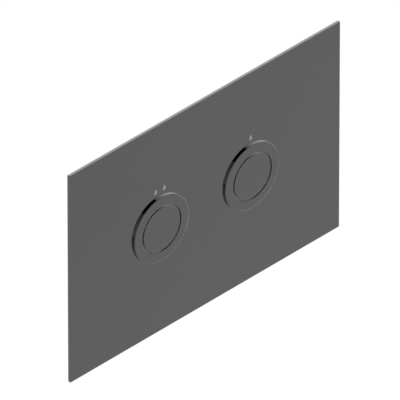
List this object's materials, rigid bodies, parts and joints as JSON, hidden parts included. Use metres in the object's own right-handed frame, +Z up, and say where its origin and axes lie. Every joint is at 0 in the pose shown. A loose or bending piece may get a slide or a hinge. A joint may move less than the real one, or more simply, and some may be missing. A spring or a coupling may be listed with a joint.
{
  "type": "flush button plate",
  "caption": "Rectangular metal flush plate for a concealed cistern, with round push buttons in raised rings, drop marks for full and half flush, and a fixing frame with push rods behind it.",
  "frame": {"origin": "middle of the plate's outline, on the plane where its seal meets the wall", "axes": "+X to the right as the plate is seen from the room, +Y into the wall, +Z up"},
  "size_m": [0.25, 0.0676, 0.165],
  "materials": {
    "dark_polished_metal": "dark grey polished metal, close to a mirror",
    "stainless_steel": "turned stainless steel",
    "spring_steel": "drawn and stamped spring steel",
    "brass": "turned brass",
    "white_moulding": "natural white engineering plastic",
    "grey_moulding": "grey moulded plastic with a fine grain",
    "fibre_washer": "red-brown pressed fibre",
    "foam_seal": "closed-cell foam strip"
  },
  "bodies": {
    "plate": {"face_plate": "dark_polished_metal", "edge_seal": "foam_seal", "mounting_frame": "grey_moulding", "plate_studs": "stainless_steel", "stud_grommets": "white_moulding", "full_flush_bezel": "dark_polished_metal", "full_flush_washer": "fibre_washer", "full_flush_ring_nut": "brass", "full_flush_guide": "white_moulding", "full_flush_spring": "spring_steel", "half_flush_bezel": "dark_polished_metal", "half_flush_washer": "fibre_washer", "half_flush_ring_nut": "brass", "half_flush_guide": "white_moulding", "half_flush_spring": "spring_steel", "left_fixing_bolt": "stainless_steel", "right_fixing_bolt": "stainless_steel", "left_bolt_clip": "spring_steel", "right_bolt_clip": "spring_steel"},
    "full_flush_push": {"full_flush_button": "dark_polished_metal", "full_flush_plunger": "stainless_steel", "full_flush_clip": "spring_steel", "full_flush_push_rod": "white_moulding", "full_flush_lock_nut": "stainless_steel"},
    "half_flush_push": {"half_flush_button": "dark_polished_metal", "half_flush_plunger": "stainless_steel", "half_flush_clip": "spring_steel", "half_flush_push_rod": "white_moulding", "half_flush_lock_nut": "stainless_steel"}
  },
  "joints": [
    {"name": "full_flush_press", "type": "slide", "parent": "plate", "child": "full_flush_push", "axis": [0, 1, 0], "range_m": [0, 0.006], "stiffness_N_per_m": 1200, "springref_m": -0.0033, "deforming": ["full_flush_spring"]},
    {"name": "half_flush_press", "type": "slide", "parent": "plate", "child": "half_flush_push", "axis": [0, 1, 0], "range_m": [0, 0.006], "stiffness_N_per_m": 1200, "springref_m": -0.0033, "deforming": ["half_flush_spring"]}
  ]
}
